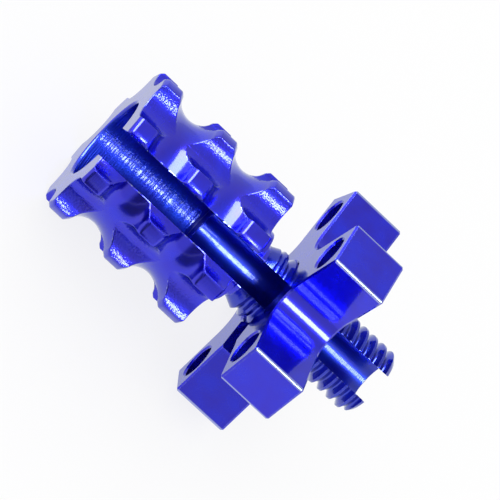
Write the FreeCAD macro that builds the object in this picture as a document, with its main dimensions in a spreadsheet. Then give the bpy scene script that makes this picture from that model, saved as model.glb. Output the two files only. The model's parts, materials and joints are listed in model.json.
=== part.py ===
import FreeCAD, Part
import math
import os
import Sketcher

# Driving sizes in millimetres, degrees and counts
SIZES = {
    # grip head
    "head_diameter": 18.0,
    "head_length": 17.6,
    "row_chamfer": 0.4,
    "first_row_width": 2.55,
    "row_pitch": 7.35,
    "groove_width": 4.75,
    "groove_floor_diameter": 13.8,
    "flute_count": 8,
    "flute_cutter_diameter": 5.8,
    "flute_floor_diameter": 14.1,
    # boss, neck and threaded shank
    "boss_diameter": 9.0,
    "boss_length": 1.4,
    "neck_diameter": 6.6,
    "neck_length": 0.7,
    "thread_diameter": 7.9,
    "thread_length": 17.2,
    "tip_chamfer": 0.6,
    # stepped bore and cable slot
    "ferrule_bore_diameter": 9.3,
    "ferrule_bore_depth": 13.5,
    "cable_bore_diameter": 5.1,
    "cable_slot_width": 3.4,
    "slot_valley_angle": 3.6,
    "slot_lean_angle": 38.7,
    # star lock nut
    "nut_gap": 3.0,
    "nut_thickness": 6.4,
    "thread_clearance": 0.05,
    "arm_count": 5,
    "arm_reach": 13.4,
    "arm_width": 5.45,
    "arm_corner_radius": 0.3,
    "valley_radius": 2.7,
    "arm_hole_diameter": 3.8,
    "arm_hole_inset": 3.0,
    "edge_break": 0.2,
}
HEAD_ROWS = 3
SHEET_NAME = "dims"
FULL_TURN = 360
CUT_MARGIN = 1.0
POINT_TOLERANCE = 1e-4


class Size:
    """A length or angle kept twice: as a number, and as the expression that binds it to the sheet."""

    def __init__(self, value, text):
        self.value = value
        self.text = text

    def join(self, other, mark, result):
        return Size(result, "(" + self.text + " " + mark + " " + as_size(other).text + ")")

    def __add__(self, other):
        return self.join(other, "+", self.value + as_size(other).value)

    def __sub__(self, other):
        return self.join(other, "-", self.value - as_size(other).value)

    def __mul__(self, other):
        return self.join(other, "*", self.value * as_size(other).value)

    def __truediv__(self, other):
        return self.join(other, "/", self.value / as_size(other).value)


def as_size(number):
    if isinstance(number, Size):
        return number
    return Size(number, repr(number))


def size(name):
    return Size(SIZES[name], SHEET_NAME + "." + name)


def sine(angle):
    return Size(math.sin(math.radians(angle.value)), "sin(" + angle.text + ")")


def cosine(angle):
    return Size(math.cos(math.radians(angle.value)), "cos(" + angle.text + ")")


# Sheet
doc = FreeCAD.newDocument("cable_adjuster")
sheet = doc.addObject("Spreadsheet::Sheet", SHEET_NAME)
for row, (name, number) in enumerate(SIZES.items(), start=1):
    sheet.set("A" + str(row), name.replace("_", " "))
    sheet.set("B" + str(row), str(number))
    sheet.setAlias("B" + str(row), name)
doc.recompute()

# Sizes that several features share
zero = as_size(0)
head_radius = size("head_diameter") / 2
boss_end = size("head_length") + size("boss_length")
thread_start = boss_end + size("neck_length")
screw_length = thread_start + size("thread_length")
nut_start = thread_start + size("nut_gap")
flute_reach = size("flute_floor_diameter") / 2 + size("flute_cutter_diameter") / 2
half_slot = size("cable_slot_width") / 2
arm_step = as_size(FULL_TURN) / size("arm_count")
half_step = arm_step / 2


# Sketch and feature helpers
def origin_part(body, role):
    return [part for part in body.Origin.OriginFeatures if part.Role == role][0]


def new_body(label):
    body = doc.addObject("PartDesign::Body", label)
    body.Label = label
    return body


def new_sketch(body, name, role):
    sketch = body.newObject("Sketcher::SketchObject", name)
    sketch.AttachmentSupport = (origin_part(body, role), [""])
    sketch.MapMode = "FlatFace"
    return sketch


def bind(sketch, kind, where, amount):
    index = sketch.addConstraint(Sketcher.Constraint(kind, *where, amount.value))
    sketch.setExpression("Constraints[" + str(index) + "]", amount.text)


def pin(sketch, edge, point, place):
    """Hold one end or centre of an edge at a place measured from the sketch's origin."""
    bind(sketch, "DistanceX", (-1, 1, edge, point), place[0])
    bind(sketch, "DistanceY", (-1, 1, edge, point), place[1])


def vector(place):
    return FreeCAD.Vector(place[0].value, place[1].value, 0)


def hollow_arc(start, end, radius):
    """Arc that runs from start to end, bulging to the right of that direction."""
    chord = end - start
    middle = (start + end) / 2
    left = FreeCAD.Vector(-chord.y, chord.x, 0).normalize()
    centre = middle + left * math.sqrt(radius * radius - chord.Length * chord.Length / 4)
    first = math.atan2(start.y - centre.y, start.x - centre.x)
    last = math.atan2(end.y - centre.y, end.x - centre.x)
    return Part.ArcOfCircle(Part.Circle(centre, FreeCAD.Vector(0, 0, 1), radius), first, last)


def closed_outline(sketch, places, arcs=None):
    """Draw a closed outline through the places; arcs maps an edge's number to its radius."""
    arcs = arcs or {}
    count = len(places)
    for edge in range(count):
        start = vector(places[edge])
        end = vector(places[(edge + 1) % count])
        if edge in arcs:
            sketch.addGeometry(hollow_arc(start, end, arcs[edge].value), False)
        else:
            sketch.addGeometry(Part.LineSegment(start, end), False)
    for edge in range(count):
        sketch.addConstraint(Sketcher.Constraint("Coincident", edge, 2, (edge + 1) % count, 1))
        pin(sketch, edge, 1, places[edge])
    for edge, radius in arcs.items():
        bind(sketch, "Radius", (edge,), radius)


def circle(sketch, centre, radius):
    edge = sketch.addGeometry(Part.Circle(vector(centre), FreeCAD.Vector(0, 0, 1), radius.value), False)
    pin(sketch, edge, 3, centre)
    bind(sketch, "Radius", (edge,), radius)


def turned(body, kind, name, sketch):
    feature = body.newObject(kind, name)
    feature.Profile = sketch
    feature.ReferenceAxis = (origin_part(body, "X_Axis"), [""])
    feature.Angle = FULL_TURN
    doc.recompute()
    return feature


def pocket(body, name, sketch, length=None):
    """Cut along +X from the head-side face, through all when no length is given."""
    before = body.Shape.Volume
    feature = body.newObject("PartDesign::Pocket", name)
    feature.Profile = sketch
    feature.Reversed = True
    if length:
        feature.Type = "Length"
        feature.Length = length.value
        feature.setExpression("Length", length.text)
    else:
        feature.Type = "ThroughAll"
    doc.recompute()
    if body.Shape.Volume >= before:
        raise RuntimeError(name + " cuts nothing")
    return feature


def around(body, name, feature, count):
    pattern = body.newObject("PartDesign::PolarPattern", name)
    pattern.Originals = [feature]
    pattern.Axis = (origin_part(body, "X_Axis"), [""])
    pattern.Angle = FULL_TURN
    pattern.Occurrences = count.value
    pattern.setExpression("Occurrences", count.text)
    body.Tip = pattern
    doc.recompute()
    return pattern


def break_edges(body, kind, name, base, chosen, amount_name, amount):
    """Fillet or chamfer the edges of base that chosen picks."""
    edges = ["Edge" + str(i) for i, edge in enumerate(base.Shape.Edges, start=1) if chosen(edge)]
    feature = body.newObject(kind, name)
    feature.Base = (base, edges)
    setattr(feature, amount_name, amount.value)
    feature.setExpression(amount_name, amount.text)
    doc.recompute()
    return feature


def same(a, b):
    return abs(a - b) < POINT_TOLERANCE


# Adjuster screw, along +X from its head face, with the cable slot towards +Z
def screw_outline():
    """Half section of the turned blank: points along the axis and away from it, and the groove arcs."""
    floor = size("groove_floor_diameter") / 2
    shoulder = head_radius - size("row_chamfer")
    depth = shoulder - floor
    half_width = size("groove_width") / 2
    groove_radius = (half_width * half_width + depth * depth) / (depth * 2)
    places = [(zero, zero), (zero, shoulder)]
    arcs = {}
    row_start = zero
    for row in range(HEAD_ROWS):
        last = row == HEAD_ROWS - 1
        row_end = size("head_length") if last else size("first_row_width") + size("row_pitch") * row
        end_break = size("edge_break") if last else size("row_chamfer")
        places.append((row_start + size("row_chamfer"), head_radius))
        places.append((row_end - end_break, head_radius))
        places.append((row_end, head_radius - end_break))
        if not last:
            row_start = row_end + size("groove_width")
            arcs[len(places) - 1] = groove_radius
            places.append((row_start, shoulder))
    thread_radius = size("thread_diameter") / 2
    places += [
        (size("head_length"), size("boss_diameter") / 2),
        (boss_end, size("boss_diameter") / 2),
        (boss_end, size("neck_diameter") / 2),
        (thread_start, size("neck_diameter") / 2),
        (thread_start, thread_radius),
        (screw_length - size("tip_chamfer"), thread_radius),
        (screw_length, thread_radius - size("tip_chamfer")),
        (screw_length, zero),
    ]
    return places, arcs


def bore_outline():
    ferrule_radius = size("ferrule_bore_diameter") / 2
    cable_radius = size("cable_bore_diameter") / 2
    return [
        (zero, zero),
        (zero, ferrule_radius + size("edge_break")),
        (size("edge_break"), ferrule_radius),
        (size("ferrule_bore_depth"), ferrule_radius),
        (size("ferrule_bore_depth"), cable_radius),
        (screw_length, cable_radius),
        (screw_length, zero),
    ]


def cut_slot(body, name, reach):
    """Radial slot from the axis out past reach, along the whole piece."""
    sketch = new_sketch(body, name + "_outline", "YZ_Plane")
    left = zero - half_slot
    closed_outline(sketch, [(left, zero), (half_slot, zero), (half_slot, reach), (left, reach)])
    return pocket(body, name, sketch)


def build_screw():
    body = new_body("adjuster_screw")
    blank_sketch = new_sketch(body, "blank_outline", "XZ_Plane")
    places, arcs = screw_outline()
    closed_outline(blank_sketch, places, arcs)
    turned(body, "PartDesign::Revolution", "blank", blank_sketch)

    flute_sketch = new_sketch(body, "flute_outline", "YZ_Plane")
    flute_turn = zero - size("slot_valley_angle")
    flute_centre = (flute_reach * sine(flute_turn), flute_reach * cosine(flute_turn))
    circle(flute_sketch, flute_centre, size("flute_cutter_diameter") / 2)
    flute = pocket(body, "flute", flute_sketch, size("head_length"))
    around(body, "flutes", flute, size("flute_count"))

    bore_sketch = new_sketch(body, "bore_outline", "XZ_Plane")
    closed_outline(bore_sketch, bore_outline())
    turned(body, "PartDesign::Groove", "stepped_bore", bore_sketch)
    cut_slot(body, "cable_slot", head_radius + CUT_MARGIN)
    return body


# Lock nut, along +X from its head-side face, with the cable slot towards +Z
def valley_outline():
    """Gap between two arms: a round floor and two flanks that run along the arms' sides."""
    centre_reach = (size("arm_width") / 2 + size("valley_radius")) / sine(half_step)
    side = size("valley_radius") * cosine(half_step)
    floor_end = centre_reach - size("valley_radius") * sine(half_step)
    outer = size("arm_reach") / cosine(half_step) + CUT_MARGIN
    outer_side = side + (outer - floor_end) * sine(half_step) / cosine(half_step)
    places = [
        (zero - side, floor_end),
        (side, floor_end),
        (outer_side, outer),
        (zero - outer_side, outer),
    ]
    return places, {0: size("valley_radius")}


def arm_corner(edge):
    """True for the long edges where an arm's flat end meets its sides."""
    middle = edge.BoundBox.Center
    corner_reach = math.hypot(SIZES["arm_reach"], SIZES["arm_width"] / 2)
    full_length = same(edge.BoundBox.XLength, SIZES["nut_thickness"])
    return full_length and same(math.hypot(middle.y, middle.z), corner_reach)


def on_end_face(edge):
    """True for an edge that lies wholly in one of the nut's two end faces."""
    box = edge.BoundBox
    return same(box.XLength, 0) and (same(box.XMin, 0) or same(box.XMin, SIZES["nut_thickness"]))


def hole_mouth(edge):
    """True for the rim of the thread bore or of an arm hole."""
    return on_end_face(edge) and isinstance(edge.Curve, Part.Circle) and edge.isClosed()


def build_nut():
    body = new_body("lock_nut")
    stock_sketch = new_sketch(body, "stock_outline", "YZ_Plane")
    corner_reach = size("arm_reach") / cosine(half_step)
    turns = [arm_step * k for k in range(SIZES["arm_count"])]
    corners = [(corner_reach * sine(turn), corner_reach * cosine(turn)) for turn in turns]
    closed_outline(stock_sketch, corners)
    stock = body.newObject("PartDesign::Pad", "stock")
    stock.Profile = stock_sketch
    stock.Length = SIZES["nut_thickness"]
    stock.setExpression("Length", size("nut_thickness").text)
    doc.recompute()

    valley_sketch = new_sketch(body, "valley_outline", "YZ_Plane")
    places, arcs = valley_outline()
    closed_outline(valley_sketch, places, arcs)
    valley = pocket(body, "valley", valley_sketch)
    star = around(body, "valleys", valley, size("arm_count"))
    star = break_edges(body, "PartDesign::Fillet", "arm_corners", star, arm_corner,
                       "Radius", size("arm_corner_radius"))
    break_edges(body, "PartDesign::Chamfer", "outline_break", star, on_end_face, "Size", size("edge_break"))

    hole_sketch = new_sketch(body, "arm_hole_outline", "YZ_Plane")
    hole_reach = size("arm_reach") - size("arm_hole_inset")
    hole_centre = (hole_reach * sine(half_step), hole_reach * cosine(half_step))
    circle(hole_sketch, hole_centre, size("arm_hole_diameter") / 2)
    hole = pocket(body, "arm_hole", hole_sketch)
    around(body, "arm_holes", hole, size("arm_count"))

    bore_sketch = new_sketch(body, "thread_bore_outline", "YZ_Plane")
    circle(bore_sketch, (zero, zero), size("thread_diameter") / 2 + size("thread_clearance"))
    bore = pocket(body, "thread_bore", bore_sketch)
    break_edges(body, "PartDesign::Chamfer", "hole_break", bore, hole_mouth, "Size", size("edge_break"))
    cut_slot(body, "cable_slot_in_nut", corner_reach + CUT_MARGIN)
    return body


# Rest on the floor: two arms of the nut and a lobe of the first row, with the thread end raised
def arms_low():
    """How far the nut's two lower arms reach below the axis."""
    half_arm = math.radians(half_step.value)
    corner = SIZES["arm_corner_radius"]
    along = (SIZES["arm_reach"] - corner) * math.cos(half_arm)
    across = (SIZES["arm_width"] / 2 - corner) * math.sin(half_arm)
    return along + across + corner


def lobe_low():
    """How far the lowest lobe reaches below the axis, with the slot leaning away from straight up."""
    reach = flute_reach.value
    radius = head_radius.value
    cutter_radius = SIZES["flute_cutter_diameter"] / 2
    half_flute = math.acos((reach ** 2 + radius ** 2 - cutter_radius ** 2) / (2 * reach * radius))
    step = FULL_TURN / SIZES["flute_count"]
    below_flute = (FULL_TURN / 2 + SIZES["slot_lean_angle"] + SIZES["slot_valley_angle"]) % step
    to_flute = math.radians(min(below_flute, step - below_flute))
    return radius * math.cos(max(half_flute - to_flute, 0))


def rest_placements(screw, nut):
    nut_contact = nut_start.value + SIZES["edge_break"]
    head_contact = SIZES["row_chamfer"]
    tilt = math.atan2(arms_low() - lobe_low(), nut_contact - head_contact)
    axis_height = lobe_low() * math.cos(tilt) - head_contact * math.sin(tilt)
    raise_thread_end = FreeCAD.Rotation(FreeCAD.Vector(0, 1, 0), -math.degrees(tilt))
    nut_lean = FULL_TURN / 2 - arm_step.value
    along = raise_thread_end.multVec(FreeCAD.Vector(nut_start.value, 0, 0))
    for body, lean, base in ((screw, SIZES["slot_lean_angle"], FreeCAD.Vector()), (nut, nut_lean, along)):
        rolled = raise_thread_end.multiply(FreeCAD.Rotation(FreeCAD.Vector(1, 0, 0), lean))
        body.Placement = FreeCAD.Placement(base + FreeCAD.Vector(0, 0, axis_height), rolled)
    doc.recompute()
    box = screw.Shape.optimalBoundingBox(False)
    box.add(nut.Shape.optimalBoundingBox(False))
    for body in (screw, nut):
        body.Placement.Base = body.Placement.Base - FreeCAD.Vector(box.Center.x, box.Center.y, 0)
    doc.recompute()


screw = build_screw()
nut = build_nut()
rest_placements(screw, nut)

# Check every object and every solid, then write the sub-parts
for item in doc.Objects:
    if "Invalid" in item.State or "Error" in item.State:
        raise RuntimeError(item.Label + " failed")
for body in (screw, nut):
    if body.Shape.isNull() or not body.Shape.isValid():
        raise RuntimeError(body.Label + " has no valid shape")
os.makedirs("parts", exist_ok=True)
for body in (screw, nut):
    body.Shape.exportStep("parts/" + body.Label + ".step")
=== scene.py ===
import json
import math

import bmesh
import bpy
from mathutils import Matrix, Quaternion, Vector


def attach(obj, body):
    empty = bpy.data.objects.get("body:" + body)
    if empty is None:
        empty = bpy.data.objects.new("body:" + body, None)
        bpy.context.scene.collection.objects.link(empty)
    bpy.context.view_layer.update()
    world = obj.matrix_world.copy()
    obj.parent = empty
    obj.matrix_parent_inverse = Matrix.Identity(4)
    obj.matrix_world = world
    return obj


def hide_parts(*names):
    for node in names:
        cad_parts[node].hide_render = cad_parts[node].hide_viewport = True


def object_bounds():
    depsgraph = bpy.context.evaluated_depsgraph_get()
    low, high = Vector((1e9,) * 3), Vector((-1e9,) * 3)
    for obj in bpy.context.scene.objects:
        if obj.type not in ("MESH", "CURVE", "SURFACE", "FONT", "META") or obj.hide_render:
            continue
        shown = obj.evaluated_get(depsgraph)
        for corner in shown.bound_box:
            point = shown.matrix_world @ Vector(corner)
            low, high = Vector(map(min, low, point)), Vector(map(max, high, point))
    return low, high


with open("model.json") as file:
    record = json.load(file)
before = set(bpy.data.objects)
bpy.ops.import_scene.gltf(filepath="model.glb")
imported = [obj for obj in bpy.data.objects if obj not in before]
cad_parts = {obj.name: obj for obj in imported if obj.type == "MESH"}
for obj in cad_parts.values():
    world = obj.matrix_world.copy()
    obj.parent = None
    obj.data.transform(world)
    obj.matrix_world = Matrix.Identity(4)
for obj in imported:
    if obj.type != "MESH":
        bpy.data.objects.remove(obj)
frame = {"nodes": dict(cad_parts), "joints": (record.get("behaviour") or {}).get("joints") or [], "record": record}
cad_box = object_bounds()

MM = 0.001
scene = bpy.context.scene

# The screw's own frame: x along its axis from the head face, z towards the cable slot

SCREW_LENGTH = 36.9 * MM
SLOT_LEAN = math.radians(38.7)      # turn of the slot from straight up towards the viewer
THREAD_END = Vector(next(m["pos_m"] for m in frame["record"]["mounts"] if m["name"] == "thread"))
AXIS = Vector(frame["joints"][0]["axis"]).normalized()
FRONT = Vector((0, -1, 0))
UPRIGHT = FRONT.cross(AXIS)
SLOT_WAY = UPRIGHT * math.cos(SLOT_LEAN) + FRONT * math.sin(SLOT_LEAN)
SIDE_WAY = SLOT_WAY.cross(AXIS)
SCREW_FRAME = Matrix((AXIS, SIDE_WAY, SLOT_WAY)).transposed().to_4x4()
SCREW_FRAME.translation = THREAD_END - AXIS * SCREW_LENGTH
TO_SCREW = SCREW_FRAME.inverted()

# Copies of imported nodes

JOIN_REACH = 0.001 * MM
FLAT_ANGLE = math.radians(0.3)      # faces that turn by less are joined
CORNER_ANGLE = math.radians(30)     # outer edges that turn by more are broken
EDGE_BREAK = 0.12 * MM
SHARP_ANGLE = math.radians(28)      # edges that turn by more stay sharp in the shading


def mesh_object(name, bm):
    mesh = bpy.data.meshes.new(name)
    bm.to_mesh(mesh)
    bm.free()
    obj = bpy.data.objects.new(name, mesh)
    scene.collection.objects.link(obj)
    return obj


def copy_of(node, name):
    """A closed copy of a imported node, with split corners joined and its outer edges broken."""
    bm = bmesh.new()
    bm.from_mesh(frame["nodes"][node].data)
    bmesh.ops.remove_doubles(bm, verts=bm.verts, dist=JOIN_REACH)
    bmesh.ops.dissolve_limit(bm, angle_limit=FLAT_ANGLE, verts=bm.verts, edges=bm.edges)
    outer = [e for e in bm.edges if e.is_convex and e.calc_face_angle() > CORNER_ANGLE]
    bmesh.ops.bevel(bm, geom=outer, offset=EDGE_BREAK, offset_type="OFFSET", segments=2, profile=0.5,
                    affect="EDGES", clamp_overlap=False, material=-1)
    obj = mesh_object(name, bm)
    stored = obj.data.attributes.get("custom_normal")
    if stored:
        obj.data.attributes.remove(stored)
    return obj


def keep_result(obj):
    """The object's modifiers are carried out and cleared."""
    bpy.context.view_layer.update()
    evaluated = obj.evaluated_get(bpy.context.evaluated_depsgraph_get())
    mesh = bpy.data.meshes.new_from_object(evaluated)
    obj.modifiers.clear()
    obj.data = mesh


def keep_common(obj, other):
    """obj keeps only what it shares with other, which goes away."""
    step = obj.modifiers.new("intersect", "BOOLEAN")
    step.operation = "INTERSECT"
    step.solver = "MANIFOLD"
    step.object = other
    keep_result(obj)
    bpy.data.objects.remove(other)


def smooth(obj):
    """Round shading over the curves and the broken edges, with the flats kept flat."""
    obj.data.shade_smooth()
    obj.data.set_sharp_from_angle(angle=SHARP_ANGLE)
    step = obj.modifiers.new("weights", "WEIGHTED_NORMAL")
    step.keep_sharp = True
    keep_result(obj)


# Thread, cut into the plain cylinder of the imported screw

PITCH = 1.25 * MM
THREAD_DEPTH = 0.55 * MM
THREAD_RADIUS = 3.935 * MM          # a hair inside the plain cylinder
THREAD_START = 19.69 * MM           # in the neck, just short of the cylinder
LEAD_RADIUS = 3.35 * MM
LEAD_LENGTH = 1.2 * MM
FADE_START = 20.2 * MM              # the groove runs out towards the head
FADE_LENGTH = 1.3 * MM
CREST_AT = 32.6 * MM                # a crest passes the side of the screw here
GROOVE_HALF = 0.5 * MM
ROOT_ROUNDING = 0.45                # share of the groove's half width
TURN_STEPS = 96
PITCH_STEPS = 20                    # a row of points runs along each crest edge
ROW_STEP = PITCH / PITCH_STEPS
FIRST_ROW = CREST_AT - math.floor((CREST_AT - THREAD_START) / ROW_STEP) * ROW_STEP
ROW_COUNT = math.ceil((SCREW_LENGTH + PITCH - FIRST_ROW) / ROW_STEP)
WIDE = 12 * MM                      # radius that holds the whole head


def share(value, start, length):
    """0 before start, 1 after start + length, and straight between."""
    return min(max((value - start) / length, 0.0), 1.0)


def groove_share(distance):
    """How deep the thread groove is at a distance from its middle: 1 there, 0 on the crest."""
    across = min(abs(distance) / GROOVE_HALF, 1.0)
    flank = math.hypot(across, ROOT_ROUNDING) - ROOT_ROUNDING
    return 1.0 - flank / (math.hypot(1.0, ROOT_ROUNDING) - ROOT_ROUNDING)


def thread_radius(x, turn):
    """Radius of the threaded rod at x along the axis and at a share of a turn round it."""
    lead = LEAD_RADIUS + (THREAD_RADIUS - LEAD_RADIUS) * share(x, THREAD_START, LEAD_LENGTH)
    along = (x - CREST_AT) / PITCH - turn + 0.5     # whole numbers in the middle of the groove
    distance = (along - round(along)) * PITCH
    depth = THREAD_DEPTH * share(x, FADE_START, FADE_LENGTH)
    return min(lead, THREAD_RADIUS - depth * groove_share(distance))


def threaded_rod():
    """A solid that holds the whole head, and beyond it only the form of the thread.

    The rows of points climb along the thread, so a row ends one turn later where another begins.
    """
    bm = bmesh.new()

    def point(x, turn, radius):
        angle = 2 * math.pi * turn
        return bm.verts.new(SCREW_FRAME @ Vector((x, radius * math.cos(angle), radius * math.sin(angle))))

    def ring(x, radius):
        return [point(x, k / TURN_STEPS, radius) for k in range(TURN_STEPS)]

    def thread_point(row, k):
        turn = k / TURN_STEPS
        x = FIRST_ROW + row * ROW_STEP + turn * PITCH
        return point(x, turn, thread_radius(x, turn))

    def band(near, far):
        for k in range(TURN_STEPS):
            after = (k + 1) % TURN_STEPS
            bm.faces.new((near[k], far[k], far[after], near[after]))

    head_end = ring(-PITCH, WIDE)
    head_side = ring(THREAD_START, WIDE)
    neck = ring(THREAD_START, LEAD_RADIUS)
    tip = ring(FIRST_ROW + (ROW_COUNT + 2 * PITCH_STEPS) * ROW_STEP, THREAD_RADIUS)
    seam = [thread_point(row, 0) for row in range(ROW_COUNT + PITCH_STEPS + 1)]
    rows = []
    for row in range(ROW_COUNT + 1):
        around = [thread_point(row, k) for k in range(1, TURN_STEPS)]
        rows.append([seam[row], *around, seam[row + PITCH_STEPS]])
    band(head_end, head_side)
    band(head_side, neck)
    for near, far in zip(rows, rows[1:]):
        for k in range(TURN_STEPS):
            bm.faces.new((near[k], far[k], far[k + 1], near[k + 1]))
    first, last = rows[0], rows[-1]
    for k in range(TURN_STEPS - 1):
        bm.faces.new((neck[k], first[k], first[k + 1], neck[k + 1]))
        bm.faces.new((last[k + 1], tip[k + 1], tip[(k + 2) % TURN_STEPS], last[k + 2]))
    bm.faces.new((neck[-1], first[-2], *reversed(seam[:PITCH_STEPS + 1]), neck[0]))
    bm.faces.new((*seam[ROW_COUNT:], tip[0], tip[1], last[1]))
    bm.faces.new(head_end)
    bm.faces.new(tip)
    bmesh.ops.recalc_face_normals(bm, faces=bm.faces)
    return mesh_object("threaded_rod", bm)


# Materials: lengths in mm, noise scales for each mm

BLUE = (0.02, 0.018, 0.68)
# Darker blue on the thread: painted shade of its grooves
THREAD_SHADE_BLUE = (0.014, 0.03, 0.5)
# Darker blue in the bores: painted shade of the recesses
BORE_SHADE_BLUE = (0.018, 0.036, 0.5)
EDGE_TINT = (0.34, 0.44, 0.62)
DARK_TONE = (1.2, 0.8, 0.86)        # shares of the base colour
LIGHT_TONE = (0.8, 1.2, 1.1)
CLOUD_SCALE = 0.35
CLOUD_RANGE = (0.3, 0.7)
ROUGHNESS_SPREAD = 0.03
COAT_IOR = 1.46
RING_PITCH = 0.27                   # between the turning marks
RING_DRIFT = 0.6                    # by which they wander
DRIFT_SCALE = 1.4
SPECKLE_SCALE = 5.0
FINE_SPECKLE_SCALE = 10.0
STREAK_SCALE = 2.6
STREAK_STRETCH = 0.06               # the streaks run along the axis
# Lighter edges: partly thin, worn dye, partly a painted highlight along the edges
WORN_AND_HIGHLIGHT = (0.34, 0.38, 0.76)           # thin dye on the edges, and a painted highlight along them
WEAR_AND_HIGHLIGHT_REACH = 0.1
WEAR_AND_HIGHLIGHT_TURN = (0.97, 0.8)             # cosines of the turn at which the worn, painted-highlight edge colour starts and is full
WEAR_AND_HIGHLIGHT_PATCHES = (0.35, 0.6)          # range of the speckle in which the lighter edge patches, worn and painted highlight, come up
ARM_COUNT = 5
ARM_REACH = 13.4                    # from the axis to the end of an arm of the nut
ARM_HALF = 2.725
ARM_CORNER = 0.3
CORNER_HIGHLIGHT_FADE = (-0.03, 0.04)         # edge of the painted corner highlight, from the end of the flats


class Nodes:
    """Adds linked nodes to one material or world."""

    def __init__(self, tree):
        self.tree = tree

    def add(self, kind, settings=None, **inputs):
        node = self.tree.nodes.new(kind)
        for name, value in (settings or {}).items():
            setattr(node, name, value)
        for name, value in inputs.items():
            self.put(node.inputs[name.replace("_", " ")], value)
        return node

    def put(self, socket, value):
        if isinstance(value, bpy.types.NodeSocket):
            self.tree.links.new(value, socket)
        else:
            socket.default_value = value

    def math(self, operation, *values):
        node = self.tree.nodes.new("ShaderNodeMath")
        node.operation = operation
        for socket, value in zip(node.inputs, values):
            self.put(socket, value)
        return node.outputs[0]

    def dot(self, a, b):
        node = self.add("ShaderNodeVectorMath", {"operation": "DOT_PRODUCT"})
        self.put(node.inputs[0], a)
        self.put(node.inputs[1], b)
        return node.outputs["Value"]

    def noise(self, place, scale, detail):
        return self.add("ShaderNodeTexNoise", Vector=place, Scale=scale, Detail=detail).outputs["Fac"]

    def ramp(self, value, start, end, low=0.0, high=1.0, shape="LINEAR"):
        """low where the value is at start, high where it is at end."""
        node = self.add("ShaderNodeMapRange", {"interpolation_type": shape}, Value=value,
                        From_Min=start, From_Max=end, To_Min=low, To_Max=high)
        return node.outputs[0]

    def mix(self, kind, factor, a, b):
        """a where the factor is 0, b where it is 1."""
        node = self.add("ShaderNodeMix", {"data_type": kind}, Factor=factor, A=a, B=b)
        return node.outputs["Result"]


def toned(base, tone):
    return (*(b * t for b, t in zip(base, tone)), 1)


def arm_corner_highlight(nodes, y, z, radius):
    """Painted highlight mask: 1 on the rounded corners of the nut's arms, and 0 on the flats beside them."""
    turn = nodes.math("SUBTRACT", nodes.math("ARCTAN2", y, z), SLOT_LEAN)
    off_arm = nodes.math("PINGPONG", turn, math.pi / ARM_COUNT)
    along = nodes.math("MULTIPLY", radius, nodes.math("COSINE", off_arm))
    across = nodes.math("MULTIPLY", radius, nodes.math("SINE", off_arm))
    flats_end = ARM_REACH + ARM_HALF - ARM_CORNER
    start, end = (flats_end + fade for fade in CORNER_HIGHLIGHT_FADE)
    return nodes.ramp(nodes.math("ADD", along, across), start, end)


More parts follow.
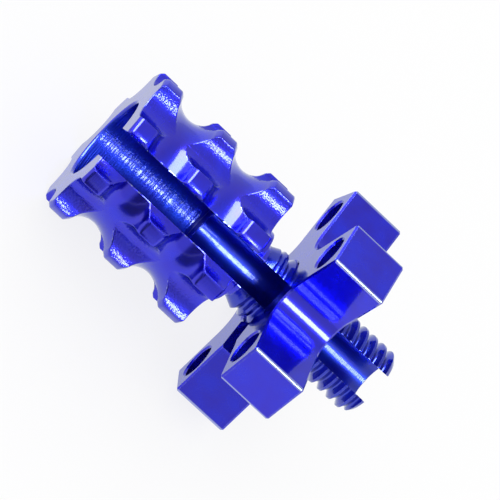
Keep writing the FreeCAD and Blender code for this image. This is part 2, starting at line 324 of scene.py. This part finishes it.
def anodised(name, base, roughness, coat_roughness, ring_height=0.0, speckle_height=0.0, streak_height=0.0,
             speckle_scale=SPECKLE_SCALE, corners=None):
    """Bright dyed oxide on aluminium: a coloured metal under a thin clear layer, with tool marks. Lighter edges
    are partly worn dye and partly a painted highlight.
    """
    material = bpy.data.materials.new(name)
    material.use_nodes = True
    nodes = Nodes(material.node_tree)
    shader = material.node_tree.nodes["Principled BSDF"]
    shader.inputs["Metallic"].default_value = 1
    shader.inputs["Specular Tint"].default_value = (*EDGE_TINT, 1)
    shader.inputs["Coat Weight"].default_value = 1
    shader.inputs["Coat Roughness"].default_value = coat_roughness
    shader.inputs["Coat IOR"].default_value = COAT_IOR

    place = nodes.add("ShaderNodeTexCoord").outputs["Object"]
    mapping = nodes.add("ShaderNodeMapping", {"vector_type": "TEXTURE"}, Vector=place,
                        Location=SCREW_FRAME.translation, Rotation=SCREW_FRAME.to_euler(), Scale=(MM, MM, MM))
    local = mapping.outputs[0]
    parts = nodes.add("ShaderNodeSeparateXYZ", Vector=local)
    x, y, z = (parts.outputs[c] for c in "XYZ")
    radius = nodes.math("SQRT", nodes.math("ADD", nodes.math("MULTIPLY", y, y), nodes.math("MULTIPLY", z, z)))

    drift = nodes.add("ShaderNodeTexNoise", {"noise_dimensions": "1D"}, W=x, Scale=DRIFT_SCALE, Detail=2.0)
    feed = nodes.math("MULTIPLY_ADD", drift.outputs["Fac"], RING_DRIFT, nodes.math("ADD", x, radius))
    rings = nodes.math("SINE", nodes.math("MULTIPLY", feed, 2 * math.pi / RING_PITCH))
    speckle = nodes.noise(local, speckle_scale, detail=1.0)
    stretched = nodes.add("ShaderNodeCombineXYZ", X=nodes.math("MULTIPLY", x, STREAK_STRETCH), Y=y, Z=z)
    streaks = nodes.noise(stretched.outputs[0], STREAK_SCALE, detail=3.0)
    height = nodes.math("MULTIPLY", rings, ring_height)
    height = nodes.math("MULTIPLY_ADD", speckle, speckle_height, height)
    height = nodes.math("MULTIPLY_ADD", streaks, streak_height, height)
    bump = nodes.add("ShaderNodeBump", Strength=1.0, Distance=MM, Height=height)
    nodes.put(shader.inputs["Normal"], bump.outputs[0])
    nodes.put(shader.inputs["Coat Normal"], bump.outputs[0])

    clouds = nodes.noise(local, CLOUD_SCALE, detail=3.0)
    tone = nodes.ramp(clouds, *CLOUD_RANGE)
    colour = nodes.mix("RGBA", tone, toned(base, DARK_TONE), toned(base, LIGHT_TONE))
    # Edges take a lighter colour: partly worn dye, partly a painted highlight along them
    rounded = nodes.add("ShaderNodeBevel", {"samples": 4}, Radius=WEAR_AND_HIGHLIGHT_REACH * MM)
    turning = nodes.dot(rounded.outputs[0], nodes.add("ShaderNodeNewGeometry").outputs["Normal"])
    wear_and_highlight = nodes.math("MULTIPLY", nodes.ramp(turning, *WEAR_AND_HIGHLIGHT_TURN), nodes.ramp(speckle, *WEAR_AND_HIGHLIGHT_PATCHES))
    # Where corners is given, a painted highlight along the rounded corners of the nut's arms
    if corners:
        wear_and_highlight = nodes.math("MAXIMUM", wear_and_highlight, corners(nodes, y, z, radius))
    nodes.put(shader.inputs["Base Color"], nodes.mix("RGBA", wear_and_highlight, colour, (*WORN_AND_HIGHLIGHT, 1)))
    rough = nodes.ramp(clouds, *CLOUD_RANGE, roughness - ROUGHNESS_SPREAD, roughness + ROUGHNESS_SPREAD)
    nodes.put(shader.inputs["Roughness"], rough)
    return material


TURNED = anodised("anodised_turned", BLUE, roughness=0.26, coat_roughness=0.12,
                  ring_height=0.0006, speckle_height=0.002)
# The bores' darker base colour is painted shade
BORED = anodised("anodised_bored", BORE_SHADE_BLUE, roughness=0.36, coat_roughness=0.05,
                 ring_height=0.005, speckle_height=0.012)
REAMED = anodised("anodised_reamed", BORE_SHADE_BLUE, roughness=0.33, coat_roughness=0.05,
                  ring_height=0.0015, speckle_height=0.005, speckle_scale=FINE_SPECKLE_SCALE)
MILLED = anodised("anodised_milled", BLUE, roughness=0.26, coat_roughness=0.07,
                  speckle_height=0.0015, streak_height=0.002)
FLUTE = anodised("anodised_flute", BLUE, roughness=0.28, coat_roughness=0.06,
                 speckle_height=0.025, streak_height=0.003)
# The thread's darker base colour is painted shade
THREAD = anodised("anodised_thread", THREAD_SHADE_BLUE, roughness=0.24, coat_roughness=0.06,
                  ring_height=0.0015, speckle_height=0.006)
# The nut's arm corners carry a painted highlight
STAR = anodised("anodised_star", BLUE, roughness=0.26, coat_roughness=0.07,
                speckle_height=0.0015, streak_height=0.002, corners=arm_corner_highlight)

# Pieces

FINISHES = (TURNED, BORED, REAMED, MILLED, FLUTE, THREAD)
SLOT_HALF = 1.7 * MM
SLOT_FACING = 0.95                  # least share of a slot wall's normal that points across the slot
FLUTE_COUNT = 8
FLUTE_RADIUS = 2.9 * MM
FLUTE_REACH = 9.95 * MM
FLUTE_TURN = math.radians(-3.6)
FLUTE_TILT = 0.2                    # largest share of a flute's normal along the axis
BORE_RADIUS = 4.75 * MM
BORE_FACING = 0.5                   # least share of a bore wall's normal that points to the axis
STEP_AT = 13.5 * MM
NEAR = 0.03 * MM


def finish_of(centre, normal):
    """The finish that the face of the screw has there."""
    x, y, z = centre
    radius = math.hypot(y, z)
    if abs(abs(y) - SLOT_HALF) < NEAR and abs(normal.y) > SLOT_FACING:
        return MILLED
    if radius < BORE_RADIUS and y * normal.y + z * normal.z < -BORE_FACING * radius:
        return BORED if x < STEP_AT else REAMED
    for k in range(FLUTE_COUNT):
        turn = FLUTE_TURN + 2 * math.pi * k / FLUTE_COUNT
        away = math.hypot(y - FLUTE_REACH * math.sin(turn), z - FLUTE_REACH * math.cos(turn))
        if away < FLUTE_RADIUS + NEAR and abs(normal.x) < FLUTE_TILT:
            return FLUTE
    return THREAD if x > THREAD_START else TURNED


screw = copy_of("adjuster_screw", "threaded_screw")
keep_common(screw, threaded_rod())
smooth(screw)
screw.data.materials.clear()
for material in FINISHES:
    screw.data.materials.append(material)
turn_to_screw = TO_SCREW.to_3x3()
for face in screw.data.polygons:
    finish = finish_of(TO_SCREW @ face.center, turn_to_screw @ face.normal)
    face.material_index = FINISHES.index(finish)
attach(screw, "adjuster_screw")
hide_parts("adjuster_screw")

nut = frame["nodes"]["lock_nut"]
nut.data.materials.clear()
nut.data.materials.append(STAR)

# Floor

FLOOR_HALF = 1.0
FLOOR_WHITE = 0.9
FLOOR_GLOW = 0.82                   # share of plain white where the floor is seen
WHITE = (1, 1, 1, 1)


def seen_directly(nodes):
    """1 for rays from the camera and for mirror and glass rays, and 0 for scattered light."""
    path = nodes.add("ShaderNodeLightPath")
    seen = nodes.math("MAXIMUM", path.outputs["Is Camera Ray"], path.outputs["Is Glossy Ray"])
    return nodes.math("MAXIMUM", seen, path.outputs["Is Transmission Ray"])


def pale_floor():
    """White cloth that glows where it is seen, so that it stays nearly white beside the part."""
    material = bpy.data.materials.new("pale_floor")
    material.use_nodes = True
    tree = material.node_tree
    tree.nodes.remove(tree.nodes["Principled BSDF"])
    nodes = Nodes(tree)
    cloth = nodes.add("ShaderNodeBsdfDiffuse", Color=(FLOOR_WHITE, FLOOR_WHITE, FLOOR_WHITE, 1))
    glow = nodes.add("ShaderNodeEmission", Color=WHITE, Strength=1.0)
    mixed = nodes.add("ShaderNodeMixShader", Fac=nodes.math("MULTIPLY", seen_directly(nodes), FLOOR_GLOW))
    nodes.put(mixed.inputs[1], cloth.outputs[0])
    nodes.put(mixed.inputs[2], glow.outputs[0])
    nodes.put(tree.nodes["Material Output"].inputs["Surface"], mixed.outputs[0])
    return material


floor_bm = bmesh.new()
bmesh.ops.create_grid(floor_bm, x_segments=1, y_segments=1, size=FLOOR_HALF)
floor = mesh_object("floor", floor_bm)
floor.data.materials.append(pale_floor())

# Surroundings

AMBIENT = 0.75
OVERHEAD = 0.62
OVERHEAD_ANGLES = (15, 50)          # degrees from the middle of a patch to the start and end of its edge
DARK_SIDE = 0.12
DARK_SIDE_AT = (-30, 2)             # azimuth and elevation
DARK_SIDE_ANGLES = (20, 45)
FLOOR_LIGHT = 1.1
BACKDROP_WHITE = 0.98


def direction(azimuth, elevation):
    """Way from the part to a place in the studio: azimuth 0 is the viewer's side, 90 is +X."""
    a, e = math.radians(azimuth), math.radians(elevation)
    return Vector((math.sin(a) * math.cos(e), -math.cos(a) * math.cos(e), math.sin(e)))


def patch(nodes, way, angles, inside, outside):
    """One value in a round patch of the surroundings, another outside it, and a soft edge between."""
    look = nodes.add("ShaderNodeTexCoord").outputs["Generated"]
    start, end = (math.cos(math.radians(angle)) for angle in angles)
    return nodes.ramp(nodes.dot(look, way), end, start, outside, inside, "SMOOTHSTEP")


def studio():
    """A bright room with a dark side for the metal, soft light for the floor, a white backdrop."""
    world = bpy.data.worlds.new("studio")
    world.use_nodes = True
    nodes = Nodes(world.node_tree)
    overhead = patch(nodes, Vector((0, 0, 1)), OVERHEAD_ANGLES, OVERHEAD, AMBIENT)
    room = patch(nodes, direction(*DARK_SIDE_AT), DARK_SIDE_ANGLES, DARK_SIDE, overhead)
    level = nodes.mix("FLOAT", seen_directly(nodes), FLOOR_LIGHT, room)
    from_camera = nodes.add("ShaderNodeLightPath").outputs["Is Camera Ray"]
    background = world.node_tree.nodes["Background"]
    background.inputs["Color"].default_value = WHITE
    nodes.put(background.inputs["Strength"], nodes.mix("FLOAT", from_camera, level, BACKDROP_WHITE))
    return world


scene.world = studio()

# A dark card on the floor in front, out of the picture, that only the metal shows

CARD_NEAR = 0.042
CARD_FAR = 0.3
CARD_SIDES = (-66, 4)               # degrees
CARD_LIFT = Vector((0, 0, 0.2 * MM))
CARD_BLACK = 0.03
CARD_ROUGHNESS = 0.9

card_bm = bmesh.new()
left, right = (direction(side, 0) for side in CARD_SIDES)
outline = (left * CARD_NEAR, right * CARD_NEAR, right * CARD_FAR, left * CARD_FAR)
card_bm.faces.new([card_bm.verts.new(corner + CARD_LIFT) for corner in outline])
card = mesh_object("dark_card", card_bm)
black = bpy.data.materials.new("black_card")
black.use_nodes = True
black_shader = black.node_tree.nodes["Principled BSDF"]
black_shader.inputs["Base Color"].default_value = (CARD_BLACK, CARD_BLACK, CARD_BLACK, 1)
black_shader.inputs["Roughness"].default_value = CARD_ROUGHNESS
card.data.materials.append(black)
card.visible_camera = False
card.visible_diffuse = False
card.visible_shadow = False

# Light

MIDDLE = (cad_box[0] + cad_box[1]) / 2
LAMP_DISTANCE = 0.4
COOL_WHITE = (0.8, 1.0, 1.0)


def lamp(name, way, wide, tall, radiance):
    """A soft box in a direction from the part, wide and tall in degrees, seen in the metal only."""
    data = bpy.data.lights.new(name, "AREA")
    data.shape = "RECTANGLE"
    data.size = 2 * LAMP_DISTANCE * math.tan(math.radians(wide / 2))
    data.size_y = 2 * LAMP_DISTANCE * math.tan(math.radians(tall / 2))
    data.energy = radiance * math.pi * data.size * data.size_y
    data.color = COOL_WHITE
    obj = bpy.data.objects.new(name, data)
    obj.location = MIDDLE + way * LAMP_DISTANCE
    obj.rotation_mode = "QUATERNION"
    obj.rotation_quaternion = (-way).to_track_quat("-Z", "Y")
    obj.visible_diffuse = False
    scene.collection.objects.link(obj)


lamp("soft_box", direction(azimuth=-103, elevation=38), wide=56, tall=45, radiance=13.0)
lamp("small_box", direction(azimuth=8, elevation=59.5), wide=11, tall=17.5, radiance=24.0)

# Camera at the photograph's angle

CAMERA_AIM = Vector((-0.176, 0.592, 13.248)) * MM
CAMERA_BACK = direction(azimuth=-26.754, elevation=45.1)
CAMERA_ROLL = math.radians(68.839)
CAMERA_DISTANCE = 315.9 * MM
SENSOR = 36.0
LENS = 229.5
CLIP_START = 0.01

camera_data = bpy.data.cameras.new("camera")
camera_data.sensor_width = SENSOR
camera_data.lens = LENS
camera_data.clip_start = CLIP_START
camera = bpy.data.objects.new("camera", camera_data)
scene.collection.objects.link(camera)
camera.location = CAMERA_AIM + CAMERA_BACK * CAMERA_DISTANCE
camera.rotation_mode = "QUATERNION"
camera.rotation_quaternion = (-CAMERA_BACK).to_track_quat("-Z", "Y") @ Quaternion((0, 0, 1), CAMERA_ROLL)
scene.camera = camera
scene.view_settings.view_transform = "Standard"
